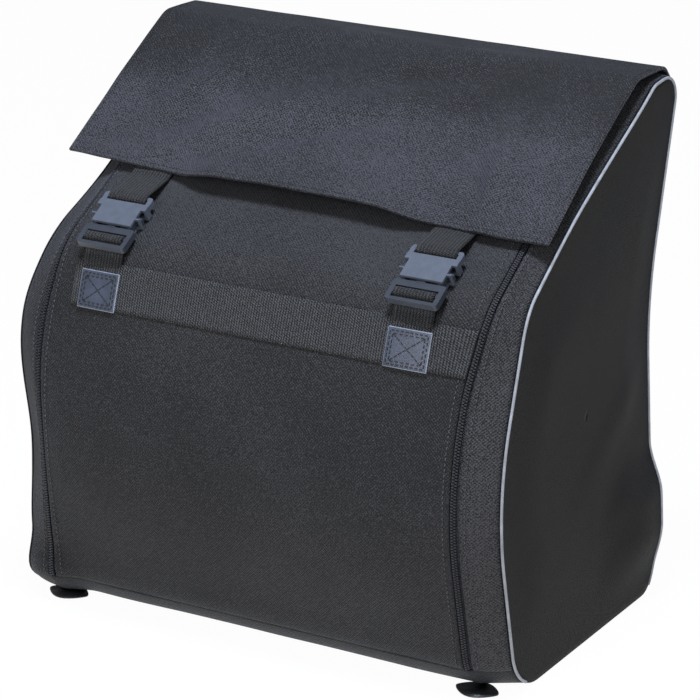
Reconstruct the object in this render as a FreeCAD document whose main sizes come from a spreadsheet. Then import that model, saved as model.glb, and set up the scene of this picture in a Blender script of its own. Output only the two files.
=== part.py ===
import FreeCAD, Part
import Sketcher
import math
import os
import re

from FreeCAD import Placement, Rotation, Vector

# Soft accordion case: a padded shell with a zipped front panel that folds down, a flap over the
# top and two webbing buckles. Millimetres, +Z up, the front faces -Y, +X is right seen from the
# front, and the origin is on the floor in the middle of the base.

SIZES = {
    # shell: the side outline's corners, before they are rounded
    "case_width": 484,
    "corner_setback": 20,
    "foot_out": 150,
    "foot_radius": 50,
    "belly_out": 192,
    "belly_height": 185,
    "belly_radius": 250,
    "bend_out": 143,
    "bend_height": 338,
    "bend_radius": 60,
    "ridge_back": 90,
    "ridge_height": 476,
    "ridge_radius": 22,
    "crown_back": 160,
    "crown_height": 478,
    "crown_radius": 22,
    "waist_back": 108,
    "waist_height": 280,
    "waist_radius": 300,
    "heel_back": 136,
    "heel_radius": 20,
    # shell: cloth and padding
    "cloth": 2,
    "padding": 6,
    "board": 4,
    "board_front": 88,
    "board_back": 108,
    "board_clear": 2,
    "floor_seam": 24,
    "back_seam_drop": 18,
    "split_back": 92,
    "lid_split": 124,
    "gusset_seam": 220,
    "padding_inset": 8,
    # piping
    "piping": 4,
    "piping_end": 4,
    # zips
    "zip_out": 208,
    "zip_gap": 0.1,
    "zip_opening": 6,
    "coil": 3,
    "coil_rise": 0.4,
    "tape_width": 18,
    "tape": 1.2,
    "door_top": 200,
    "door_gap": 0.5,
    "slider_inset": 15,
    "slider_width": 10,
    "slider_length": 15,
    "slider_plate": 1.6,
    "slider_taper": 1.5,
    "slider_clear": 0.2,
    "lug_width": 3,
    "lug_length": 8,
    "lug_height": 2.8,
    "lug_bore": 0.9,
    "pull_pin": 0.65,
    "pull_width": 8,
    "pull_length": 30,
    "pull_thick": 1.1,
    "pull_radius": 1.5,
    "pull_arm_gap": 0.4,
    "pull_arm_lap": 1.5,
    "leaf_width": 40,
    "leaf_length": 46,
    "leaf_front": 162,
    "leaf_thick": 2.2,
    # flap
    "flap_width": 476,
    "flap": 3,
    "flap_stand": 6,
    "flap_edge": 84,
    "flap_ridge_radius": 24,
    "flap_crown_radius": 12,
    "flap_crown_rise": 4,
    "hinge_lift": 1,
    "binding": 1.6,
    "binding_width": 20,
    "binding_drop": 6.5,
    # webbing across the front, patches and straps
    "webbing": 38,
    "webbing_thick": 1.4,
    "band_low": 285,
    "band_width": 38,
    "patch_width": 40,
    "patch_height": 39,
    "patch_thick": 1.2,
    "strap_out": 152,
    "strap_top": 150,
    "strap_under": 0.6,
    "strap_fold_radius": 2,
    "strap_fold_rise": 2,
    "strap_foot_rise": 2,
    "strap_foot_lean": 0.3,
    "upper_fold_radius": 1.6,
    # buckles, along the front slope from the bend
    "buckle_stand": 2.6,
    "buckle_thick": 12,
    "buckle_width": 49,
    "buckle_mouth": 14,
    "socket_length": 26,
    "socket_wall": 2.4,
    "socket_back_wall": 3,
    "socket_radius": 2,
    "tail_radius": 3,
    "tail_drop": 1,
    "slot_length": 6,
    "slot_clear": 1,
    "crossbar": 3.4,
    "crossbar_thick": 6,
    "post_place": 8,
    "post_length": 1.5,
    "window_clear": 0.6,
    "window_end": 7,
    "cut_past": 1,
    "plug_gap": 1.5,
    "plug_window": 3,
    "tongue_clear": 0.4,
    "barb_length": 3.2,
    "barb_gap": 0.2,
    "barb_inset": 2.5,
    "barb_radius": 0.6,
    "prong_width": 4,
    "prong_length": 17,
    "prong_inset": 4,
    "prong_gap": 0.25,
    "prong_back": 1,
    "prong_radius": 1.2,
    "rib_width": 8,
    "rib_length": 18,
    "rib_radius": 1,
    "rib_lap": 1,
    "male_length": 24,
    # shoulder straps, in a frame on the upper back
    "yoke_width": 216,
    "yoke_drop": 38,
    "yoke_height": 60,
    "yoke_thick": 2.4,
    "shoulder_out": 78,
    "shoulder_drop": 76,
    "shoulder_foot": 74,
    "shoulder_stand": 12,
    "shoulder_tail": 12,
    "shoulder_slant": 20,
    "shoulder_width": 60,
    "shoulder_thick": 12,
    "shoulder_flat": 36,
    "shoulder_bend": 60,
    "lock_width": 36,
    "lock_length": 26,
    "lock_thick": 5,
    "lock_bar": 4,
    "lock_radius": 1,
    "lock_slot_clear": 2,
    "adjuster_width": 25,
    "adjuster_thick": 1.6,
    "adjuster_fall": 40,
    "adjuster_dive": 60,
    "adjuster_turn_outer": 6,
    "adjuster_turn_inner": 5,
    "anchor_width": 56,
    "anchor_low": 26,
    "anchor_high": 66,
    "anchor_out": 206,
    # grab loop on the back
    "loop_drop": 48,
    "loop_span": 130,
    "loop_bow": 26,
    "loop_thick": 4,
    "loop_width": 22,
    "loop_radius": 16,
    "loop_foot_inner": 6,
    "loop_foot_outer": 9,
    "loop_tab": 24,
}

# Places worked out from the sizes, as expressions of the sheet.
DERIVED = {
    "half_width": "case_width / 2",
    "panel_out": "half_width - piping / 2",
    "slope": "atan2(ridge_height - bend_height; ridge_back + bend_out)",
    "lid_slope": "atan2(crown_height - ridge_height; crown_back - ridge_back)",
    "back_slope": "atan2(crown_height - waist_height; crown_back - waist_back)",
    "front_slope": "atan2(bend_height - belly_height; belly_out - bend_out)",
    "crown_aim": "(lid_slope + back_slope) / 2",
    "crown_reach": "crown_radius / sin((back_slope - lid_slope) / 2)",
    "crown_y": "crown_back - crown_reach * cos(crown_aim)",
    "crown_z": "crown_height - crown_reach * sin(crown_aim)",
    "hinge_reach": "crown_radius + hinge_lift",
    "hinge_y": "crown_y + hinge_reach * cos(crown_aim)",
    "hinge_z": "crown_z + hinge_reach * sin(crown_aim)",
    "ridge_reach": "sqrt((ridge_height - bend_height)^2 + (ridge_back + bend_out)^2)",
    "slider_place": "door_top - slider_inset",
    "corner_lean": "corner_setback / (panel_out - zip_out)",
    "back_seam": "crown_height - back_seam_drop",
    "yoke_high": "crown_height - yoke_drop",
    "yoke_low": "yoke_high - yoke_height",
    "loop_height": "crown_height - loop_drop",
    "shoulder_top": "crown_height - shoulder_drop",
    "shoulder_y": "waist_back + (shoulder_top - waist_height) / tan(back_slope)",
    "shoulder_fall": "atan2(shoulder_top - shoulder_foot; shoulder_y - heel_back - shoulder_stand)",
    "shoulder_lean": "shoulder_fall - back_slope",
    "shoulder_length": "(shoulder_top - shoulder_foot"
                       " - (yoke_thick - shoulder_flat * tan(shoulder_lean)) * cos(back_slope))"
                       " / (cos(shoulder_slant) * sin(back_slope)"
                       " + tan(shoulder_lean) * cos(back_slope))",
    "far": "2 * case_width",
}

YZ = Placement(Vector(0, 0, 0), Rotation(Vector(1, 1, 1), 120))
RIGHT = 1
LEFT = -1
SIDES = (("left", LEFT), ("right", RIGHT))

doc = FreeCAD.newDocument("accordion_case")
sheet = doc.addObject("Spreadsheet::Sheet", "Sizes")
for row, (alias, number) in enumerate(SIZES.items(), start=1):
    sheet.set(f"A{row}", alias)
    sheet.set(f"B{row}", str(number))
    sheet.setAlias(f"B{row}", alias)
doc.recompute()

pieces = []


def spelled(text):
    """The expression with each size's name led back to its cell in the sheet."""

    def word(match):
        name = match.group(0)
        if name in SIZES:
            return "Sizes." + name
        if name in DERIVED:
            return "(" + spelled(DERIVED[name]) + ")"
        return name

    return re.sub(r"[a-z][a-z_0-9]*", word, text)


def worth(text):
    value = sheet.evalExpression(spelled(text))
    return float(getattr(value, "Value", value))


def bind(thing, **texts):
    for name, text in texts.items():
        thing.setExpression(name.replace("__", "."), spelled(text))


def place(thing, base=("0", "0", "0"), axis=Vector(1, 0, 0), turn="0"):
    """Put the object at a bound place, turned about one axis by a bound angle."""
    spot = Vector(*(worth(text) for text in base))
    thing.Placement = Placement(spot, Rotation(axis, worth(turn)))
    for letter, text in zip("xyz", base):
        thing.setExpression("Placement.Base." + letter, spelled(text))
    thing.setExpression("Placement.Rotation.Angle", spelled(turn))


def keep(thing, name):
    thing.Label = name
    pieces.append(thing)
    return thing


def span(side, near, far):
    """The two x limits of a stretch that lies near..far out from the middle, on one side."""
    if side == RIGHT:
        return near, far
    return f"-({far})", f"-({near})"


def slope_point(along, off):
    """A point of the front slope's frame, as expressions for y and z in the case's frame."""
    y = f"-bend_out + ({along}) * cos(slope) - ({off}) * sin(slope)"
    z = f"bend_height + ({along}) * sin(slope) + ({off}) * cos(slope)"
    return y, z


def on_slope(thing, x, along="0", off="0"):
    place(thing, (x, *slope_point(along, off)), turn="slope")


# ---- sketches and solids ----


def rounded_line(name, corners, closed=False, sketch=None):
    """A sketch of straight runs joined by tangent arcs. Each corner is (across, up, radius)."""
    if sketch is None:
        sketch = doc.addObject("Sketcher::SketchObject", name)
        sketch.Placement = YZ
    spots = [Vector(worth(a), worth(b), 0) for a, b, _ in corners]
    count = len(spots)
    runs = count if closed else count - 1
    starts = [spots[i] for i in range(runs)]
    ends = [spots[(i + 1) % count] for i in range(runs)]
    bends = []
    for i, (_, _, radius) in enumerate(corners):
        if not radius:
            continue
        before = (i - 1) % count
        into = (spots[i] - spots[before]).normalize()
        out = (spots[(i + 1) % count] - spots[i]).normalize()
        turn = math.atan2(into.x * out.y - into.y * out.x, into.dot(out))
        size = worth(radius)
        trim = size * math.tan(abs(turn) / 2)
        ends[before] = spots[i] - into * trim
        starts[i] = spots[i] + out * trim
        side = 1 if turn > 0 else -1
        centre = ends[before] + Vector(-into.y, into.x, 0) * size * side
        first = math.atan2(ends[before].y - centre.y, ends[before].x - centre.x)
        last = first + turn
        low, high = (first, last) if turn > 0 else (last, first)
        bends.append((i, before, turn > 0, Part.ArcOfCircle(
            Part.Circle(centre, Vector(0, 0, 1), size), low, high)))
    lines = [sketch.addGeometry(Part.LineSegment(starts[i], ends[i])) for i in range(runs)]
    bent = set()
    for i, before, left, arc in bends:
        bent.add(i)
        curve = sketch.addGeometry(arc)
        first, last = (1, 2) if left else (2, 1)
        sketch.addConstraint(Sketcher.Constraint("Tangent", lines[before], 2, curve, first))
        sketch.addConstraint(Sketcher.Constraint("Tangent", curve, last, lines[i], 1))
        held = sketch.addConstraint(Sketcher.Constraint("Radius", curve, arc.Radius))
        sketch.renameConstraint(held, f"radius{i}")
        sketch.setExpression(f"Constraints.radius{i}", spelled(corners[i][2]))
        point = sketch.addGeometry(Part.Point(spots[i]), True)
        sketch.addConstraint(Sketcher.Constraint("PointOnObject", point, 1, lines[before]))
        sketch.addConstraint(Sketcher.Constraint("PointOnObject", point, 1, lines[i]))
        hold_point(sketch, i, point, 1, corners[i])
    for i in range(count):
        if i in bent:
            continue
        if i < runs:
            hold_point(sketch, i, lines[i], 1, corners[i])
        else:
            hold_point(sketch, i, lines[i - 1], 2, corners[i])
        if (closed or 0 < i < runs) and i < runs:
            before = (i - 1) % runs
            sketch.addConstraint(Sketcher.Constraint("Coincident", lines[before], 2, lines[i], 1))
    return sketch


def hold_point(sketch, number, shape, end, corner):
    for kind, letter, text in (("DistanceX", "a", corner[0]), ("DistanceY", "b", corner[1])):
        held = sketch.addConstraint(Sketcher.Constraint(kind, -1, 1, shape, end, worth(text)))
        sketch.renameConstraint(held, f"{letter}{number}")
        sketch.setExpression(f"Constraints.{letter}{number}", spelled(text))


def circle(sketch, up, radius):
    """A circle on the sketch's upright axis, with its centre's height and its radius bound."""
    around = Part.Circle(Vector(0, worth(up), 0), Vector(0, 0, 1), worth(radius))
    ring = sketch.addGeometry(around)
    held = sketch.addConstraint(Sketcher.Constraint("Radius", ring, worth(radius)))
    sketch.renameConstraint(held, "radius")
    sketch.setExpression("Constraints.radius", spelled(radius))
    hold_point(sketch, 0, ring, 3, ("0", up))


def offset(source, by, fill=False):
    thing = doc.addObject("Part::Offset2D", "Offset")
    thing.Source = source
    thing.Value = worth(by)
    thing.Mode = "Skin" if fill else "Pipe"
    thing.Join = "Intersection" if fill else "Arc"
    thing.Fill = fill
    bind(thing, Value=by)
    return thing


def stretch(face, low, high, back="0"):
    """A face in the side plane, drawn out from x = low to x = high and moved back in y."""
    thing = doc.addObject("Part::Extrusion", "Stretch")
    thing.Base = face
    thing.DirMode = "Custom"
    thing.Dir = Vector(1, 0, 0)
    thing.Solid = True
    bind(thing, LengthFwd=f"({high}) - ({low})", Placement__Base__x=low, Placement__Base__y=back)
    return thing


def leaned(face, side, near, far):
    """A face drawn out from near to far on one side, and back as it nears the case's edge."""
    thing = doc.addObject("Part::Extrusion", "Lean")
    thing.Base = face
    thing.DirMode = "Custom"
    thing.Dir = Vector(side, worth("corner_lean"), 0)
    thing.Solid = True
    bind(thing, Dir__y="corner_lean", LengthFwd=f"(({far}) - ({near})) * sqrt(1 + corner_lean^2)",
         Placement__Base__x=f"{side} * ({near})",
         Placement__Base__y=f"(({near}) - zip_out) * corner_lean")
    return thing


def ribbon(name, corners, thick, low, high):
    return stretch(offset(rounded_line(name + "_line", corners), thick, fill=True), low, high)


def box(x, y, z):
    """A box between bound limits, each of x, y and z being (low, high)."""
    thing = doc.addObject("Part::Box", "Box")
    for prop, (low, high) in zip(("Length", "Width", "Height"), (x, y, z)):
        thing.setExpression(prop, spelled(f"({high}) - ({low})"))
    place(thing, (x[0], y[0], z[0]))
    return thing


def slope_box(x, along, off):
    """A box between limits in the front slope's frame."""
    thing = box(x, along, off)
    on_slope(thing, x[0], along[0], off[0])
    return thing


def joined(kind, first, second):
    thing = doc.addObject("Part::" + kind, kind)
    thing.Base = first
    thing.Tool = second
    return thing


def common(first, *others):
    for other in others:
        first = joined("Common", first, other)
    return first


def cut(first, *others):
    for other in others:
        first = joined("Cut", first, other)
    return first


# ---- bodies with sketched features ----


def new_body(name):
    body = doc.addObject("PartDesign::Body", name)
    keep(body, name)
    return body


def plane(body, role):
    return next(x for x in body.Origin.OriginFeatures if x.Role == role)


def body_sketch(body, role="XY_Plane", height="0"):
    sketch = body.newObject("Sketcher::SketchObject", "Sketch")
    sketch.AttachmentSupport = [(plane(body, role), "")]
    sketch.MapMode = "FlatFace"
    bind(sketch, AttachmentOffset__Base__z=height)
    return sketch


def outline(body, corners, height):
    sketch = body_sketch(body, height=height)
    rounded_line("", corners, closed=True, sketch=sketch)
    return sketch


def rectangle(x, y, radius=None):
    return [(x[0], y[0], radius), (x[1], y[0], radius), (x[1], y[1], radius), (x[0], y[1], radius)]


def pad(body, corners, z):
    feature = body.newObject("PartDesign::Pad", "Pad")
    feature.Profile = outline(body, corners, z[0])
    bind(feature, Length=f"({z[1]}) - ({z[0]})")
    doc.recompute()
    return feature


def pocket(body, corners, z):
    """A pocket upwards from the sketch's height, so the cut is the same stretch as a pad's."""
    before = body.Shape.Volume
    feature = body.newObject("PartDesign::Pocket", "Pocket")
    feature.Profile = outline(body, corners, z[0])
    feature.Reversed = True
    bind(feature, Length=f"({z[1]}) - ({z[0]})")
    doc.recompute()
    if body.Shape.Volume > before - 1e-6:
        raise RuntimeError(f"{body.Label}: a pocket cuts nothing")
    return feature


# ---- the shell ----

profile = rounded_line("Side_outline", [
    ("-foot_out", "0", "foot_radius"),
    ("heel_back", "0", "heel_radius"),
    ("waist_back", "waist_height", "waist_radius"),
    ("crown_back", "crown_height", "crown_radius"),
    ("ridge_back", "ridge_height", "ridge_radius"),
    ("-bend_out", "bend_height", "bend_radius"),
    ("-belly_out", "belly_height", "belly_radius"),
], closed=True)
inside = offset(profile, "-cloth")
on_cloth = offset(profile, "webbing_thick")
with_coil = offset(profile, "coil_rise")
# each layer of the shell is what lies between two outlines
CLOTH = (profile, inside)
PADDING = (inside, offset(inside, "-padding"))
TAPE = (inside, offset(inside, "-tape"))
COIL = (with_coil, inside)
BINDING = (offset(profile, "binding"), profile)
WEBBING = (on_cloth, profile)
PATCH = (offset(on_cloth, "patch_thick"), on_cloth)
YOKE = (offset(profile, "yoke_thick"), profile)
PIPING = (offset(profile, "piping / 2"), offset(profile, "-piping / 2"))


def layer(outlines, low, high):
    outer, inner = outlines
    return cut(stretch(outer, low, high), stretch(inner, low, high))


def strip(outlines, side, near, far):
    """A layer between the zip and the side, which leans back towards the case's edge."""
    outer, inner = outlines
    return cut(leaned(outer, side, near, far), leaned(inner, side, near, far))


def side_face(line, low, high):
    """What a side outline encloses at the case's edge, where the front is set back."""
    return common(stretch(line, low, high), stretch(line, low, high, "corner_setback"))


WIDE = ("-far", "far")
BEFORE_SPLIT = ("-far", "split_back")
BEHIND_SPLIT = ("split_back", "far")


def front_above(low):
    return box(WIDE, BEFORE_SPLIT, (low, "far"))


def below_slope(along):
    return slope_box(WIDE, ("-far", along), WIDE)


def back_region():
    return box(WIDE, BEHIND_SPLIT, ("floor_seam", "back_seam"))


def shell():
    wide = ("-panel_out", "panel_out")
    under = ("-far", "floor_seam")
    base = common(layer(CLOTH, *wide), box(WIDE, ("0", "far"), under))
    for run in (layer(CLOTH, "-zip_out", "zip_out"), strip(CLOTH, LEFT, "zip_out", "panel_out"),
                strip(CLOTH, RIGHT, "zip_out", "panel_out")):
        base = joined("Fuse", base, common(run, box(WIDE, ("-far", "0"), under)))
    keep(base, "base_panel")
    keep(common(layer(CLOTH, *wide), back_region()), "back_panel")
    inner = ("-(panel_out - padding)", "panel_out - padding")
    high = "back_seam - padding_inset - crown_radius"
    keep(common(layer(PADDING, *inner), box(WIDE, BEHIND_SPLIT, ("floor_seam", high))),
         "back_padding")
    reach = "(panel_out - padding - board_clear)"
    keep(box((f"-{reach}", reach), ("-board_front", "board_back"), ("cloth", "cloth + board")),
         "base_board")
    for name, side in SIDES:
        limits = span(side, "panel_out", "half_width + piping / 2")
        edge = cut(*(side_face(line, *limits) for line in PIPING))
        edge = common(edge, box(WIDE, WIDE, ("piping_end", "far")))
        keep(edge, name + "_piping")
        plate = side_face(profile, *span(side, "panel_out", "half_width"))
        keep(cut(plate, edge), name + "_side_panel")
        keep(side_face(inside, *span(side, "panel_out - padding", "panel_out")),
             name + "_side_padding")
        reach = ("zip_out + zip_opening", "panel_out")
        gusset = strip(CLOTH, side, *reach)
        keep(common(gusset, front_above("floor_seam"), below_slope("gusset_seam")),
             name + "_front_gusset")
        top = common(gusset, slope_box(WIDE, ("gusset_seam", "far"), WIDE),
                     box(WIDE, ("-far", "lid_split"), ("(bend_height + ridge_height) / 2", "far")))
        behind = common(layer(CLOTH, *span(side, *reach)),
                        box(WIDE, ("lid_split", "far"), ("back_seam", "far")))
        keep(joined("Fuse", top, behind), name + "_top_gusset")


def zips():
    """Each zip is two tapes with half a coil each; one half stays and one goes with the panel."""
    for name, side in SIDES:
        for ring, label, reach in ((TAPE, "zip_tape", "tape_width"), (COIL, "zip_coil", "coil")):
            halves = {
                "fixed": strip(ring, side, "zip_out + zip_gap", f"zip_out + {reach}"),
                "panel": layer(ring, *span(side, f"zip_out - {reach}", "zip_out - zip_gap")),
            }
            for half, run in halves.items():
                run = common(run, front_above("floor_seam + door_gap"), below_slope("door_top"))
                keep(run, f"{name}_{half}_{label}")
        leaf = new_body(name + "_zip_end_tab")
        wide = "leaf_width / 2"
        pad(leaf, [
            (f"-{wide}", "0", "leaf_length / 4"),
            (f"-{wide}", "-leaf_length", "leaf_length / 3"),
            (wide, "-leaf_length", "leaf_length / 3"),
            (wide, "0", "leaf_length / 4"),
        ], ("0", "leaf_thick"))
        place(leaf, (span(side, "zip_out", "zip_out")[0], "leaf_length - leaf_front", "0"))
        pieces.remove(leaf)
        leaf.Label = name + "_leaf_blank"
        keep(cut(leaf, stretch(profile, *WIDE)), name + "_zip_end_tab")


def sliders():
    for name, side in SIDES:
        across = span(side, "zip_out", "zip_out")[0]
        low = "coil_rise + slider_clear"
        top = f"{low} + slider_plate"
        slider = new_body(name + "_zip_slider")
        half, long = "slider_width / 2", "slider_length / 2"
        pad(slider, [
            (f"-{half} + slider_taper", f"-{long}", None),
            (f"{half} - slider_taper", f"-{long}", None),
            (half, long, None),
            (f"-{half}", long, None),
        ], (low, top))
        lug = rectangle(("-lug_width / 2", "lug_width / 2"),
                        ("-lug_length / 2", "lug_length / 2"))
        pad(slider, lug, (top, f"{top} + lug_height"))
        bore = slider.newObject("PartDesign::Pocket", "Bore")
        sketch = body_sketch(slider, "YZ_Plane")
        middle = f"{top} + lug_height / 2"
        circle(sketch, middle, "lug_bore")
        bore.Profile = sketch
        bore.Midplane = True
        bind(bore, Length="slider_width")
        doc.recompute()
        on_slope(slider, across, "slider_place")
        pull = new_body(name + "_zip_pull")
        low_face, high_face = f"{middle} - pull_thick / 2", f"{middle} + pull_thick / 2"
        wide = "pull_width / 2"
        plate = ("-pull_length", "-lug_length / 2 - pull_arm_gap")
        pad(pull, rectangle((f"-{wide}", wide), plate, "pull_radius"), (low_face, high_face))
        for edge in (LEFT, RIGHT):
            arm = span(edge, "lug_width / 2 + pull_arm_gap", wide)
            run = ("-lug_length / 2 - pull_arm_lap", "pull_pin")
            pad(pull, rectangle(arm, run), (low_face, high_face))
        pin = pull.newObject("PartDesign::Pad", "Pin")
        sketch = body_sketch(pull, "YZ_Plane")
        circle(sketch, middle, "pull_pin")
        pin.Profile = sketch
        pin.Midplane = True
        bind(pin, Length="pull_width")
        doc.recompute()
        on_slope(pull, across, "slider_place")


# ---- the front panel that folds down ----


def door():
    wide = ("-(zip_out - zip_opening)", "zip_out - zip_opening")
    keep(common(layer(CLOTH, *wide), front_above("floor_seam + door_gap"),
                below_slope("door_top")), "front_panel")
    inner = ("-(zip_out - tape_width)", "zip_out - tape_width")
    keep(common(layer(PADDING, *inner), front_above("floor_seam + padding_inset"),
                below_slope("door_top - padding_inset")), "front_padding")
    high = "band_low + band_width"
    front = ("-far", "0")
    keep(common(layer(WEBBING, *wide), box(WIDE, front, ("band_low", high))),
         "front_webbing_band")
    for name, side in SIDES:
        across = span(side, "strap_out - patch_width / 2", "strap_out + patch_width / 2")
        low = f"{high} - patch_height"
        patch = common(layer(PATCH, *across), box(WIDE, front, ("band_low", high)))
        keep(patch, name + "_patch")
        across = span(side, "strap_out - webbing / 2", "strap_out + webbing / 2")
        under = "webbing_thick + strap_under"
        foot = f"{high} + strap_foot_rise"
        start = (f"-bend_out - ({under}) / cos(front_slope)"
                 f" - (bend_height - ({foot})) * strap_foot_lean", foot)
        slot = "buckle_mouth - male_length + crossbar + slot_length / 2"
        rise = slope_point(slot, "buckle_stand")
        top = slope_point(slot, "buckle_stand + buckle_thick / 2 + strap_fold_rise")
        keep(ribbon(name + "_lower_strap", [
            (*start, None),
            (*rise, "strap_fold_radius"),
            (*top, None),
        ], "-webbing_thick", *across), name + "_lower_strap")


# ---- the flap and its straps ----


def flap():
    wide = ("-flap_width / 2", "flap_width / 2")
    edge = slope_point("flap_edge", "flap_stand")
    ridge = slope_point("ridge_reach", "flap_stand")
    keep(ribbon("Flap", [
        ("hinge_y", "hinge_z", None),
        ("crown_back - crown_radius", "crown_height + flap_crown_rise", "flap_crown_radius"),
        (*ridge, "flap_ridge_radius"),
        (*edge, None),
    ], "flap", *wide), "top_flap")
    seam = box(WIDE, ("crown_y", "far"), ("hinge_z - binding_drop - binding_width",
                                          "hinge_z - binding_drop"))
    keep(common(layer(BINDING, *wide), seam), "flap_seam_binding")
    for name, side in SIDES:
        across = span(side, "strap_out - webbing / 2", "strap_out + webbing / 2")
        level = "flap_stand - webbing_thick"
        slot = "buckle_mouth + socket_length + slot_length / 2"
        keep(ribbon(name + "_upper_strap", [
            (*slope_point("strap_top", level), None),
            (*slope_point(slot, level), "upper_fold_radius"),
            (*slope_point(slot, "buckle_stand + buckle_thick - strap_fold_rise"), None),
        ], "webbing_thick", *across), name + "_upper_strap")


# how thick the parts are that slide into the socket
TONGUE = ("socket_wall + tongue_clear", "buckle_thick - socket_wall - tongue_clear")


def buckle_female(name, side):
    body = new_body(name + "_buckle_socket")
    half = "buckle_width / 2"
    top = "buckle_thick"
    mouth = "0"
    back = "socket_length"
    web = "(webbing / 2 + slot_clear)"
    end = "socket_length + slot_length + crossbar"
    pad(body, rectangle((f"-{half}", half), (mouth, back), "socket_radius"), ("0", top))
    pad(body, rectangle((f"-{half}", half), (f"{back} - socket_back_wall", end), "tail_radius"),
        ("buckle_thick - crossbar_thick", "buckle_thick - tail_drop"))
    pocket(body, rectangle((f"-{web}", web), (back, f"{back} + slot_length")),
           ("0", top))
    room = f"{half} - socket_wall"
    pocket(body, rectangle((f"-({room})", room), (mouth, f"{back} - socket_back_wall")),
           ("socket_wall", "buckle_thick - socket_wall"))
    for edge in (LEFT, RIGHT):
        window = span(edge, f"{half} - prong_inset - window_clear", f"{half} + cut_past")
        for run in (("-cut_past", "post_place"),
                    ("post_place + post_length", f"{back} - window_end")):
            pocket(body, rectangle(window, run), ("-cut_past", "buckle_thick + cut_past"))
    on_slope(body, span(side, "strap_out", "strap_out")[0], "buckle_mouth", "buckle_stand")


def buckle_male(name, side):
    body = new_body(name + "_buckle_plug")
    half = "buckle_width / 2"
    web = "(webbing / 2 + slot_clear)"
    low, high = "(buckle_thick - crossbar_thick) / 2", "(buckle_thick + crossbar_thick) / 2"
    pad(body, rectangle((f"-{half}", half), ("-male_length", "-plug_gap"), "tail_radius"),
        (low, high))
    slot = "crossbar - male_length"
    pocket(body, rectangle((f"-{web}", web), (slot, f"{slot} + slot_length")), ("0", "buckle_thick"))
    second = f"{slot} + slot_length + crossbar"
    pocket(body, rectangle((f"-{web}", web), (second, f"{second} + plug_window")),
           ("0", "buckle_thick"))
    run = ("-plug_gap - rib_lap", "rib_length")
    pad(body, rectangle(("-rib_width / 2", "rib_width / 2"), run, "rib_radius"), TONGUE)
    on_slope(body, span(side, "strap_out", "strap_out")[0], "buckle_mouth", "buckle_stand")
    for word, edge in SIDES:
        prong = new_body(f"{name}_buckle_{word}_prong")
        outer = f"{half} - prong_inset"
        stem = span(edge, f"{outer} - prong_width - prong_back", f"{outer} - prong_back")
        run = ("prong_gap - plug_gap", "prong_length")
        pad(prong, rectangle(stem, run, "prong_radius"), TONGUE)
        barb = span(edge, f"{outer} - barb_inset", half)
        start = "post_place + post_length + barb_gap"
        pad(prong, rectangle(barb, (start, f"{start} + barb_length"), "barb_radius"), TONGUE)
        on_slope(prong, span(side, "strap_out", "strap_out")[0], "buckle_mouth", "buckle_stand")


# ---- the back: yoke, shoulder straps and grab loop ----


def on_back(thing, x, height):
    """A frame on the upper back: local y runs up the back and local -z points out of it."""
    y = f"waist_back + (({height}) - waist_height) / tan(back_slope)"
    place(thing, (x, y, height), turn="back_slope")


def slanted_pad(body, corners, width, slant):
    """Draw an outline out both ways from a plane that is turned about the body's own z."""
    sketch = body_sketch(body, "YZ_Plane")
    sketch.AttachmentOffset = Placement(Vector(0, 0, 0), Rotation(Vector(0, 1, 0), worth(slant)))
    bind(sketch, AttachmentOffset__Rotation__Angle=slant)
    rounded_line("", corners, closed=True, sketch=sketch)
    feature = body.newObject("PartDesign::Pad", "Pad")
    feature.Profile = sketch
    feature.Midplane = True
    bind(feature, Length=width)
    doc.recompute()
    return feature


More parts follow.
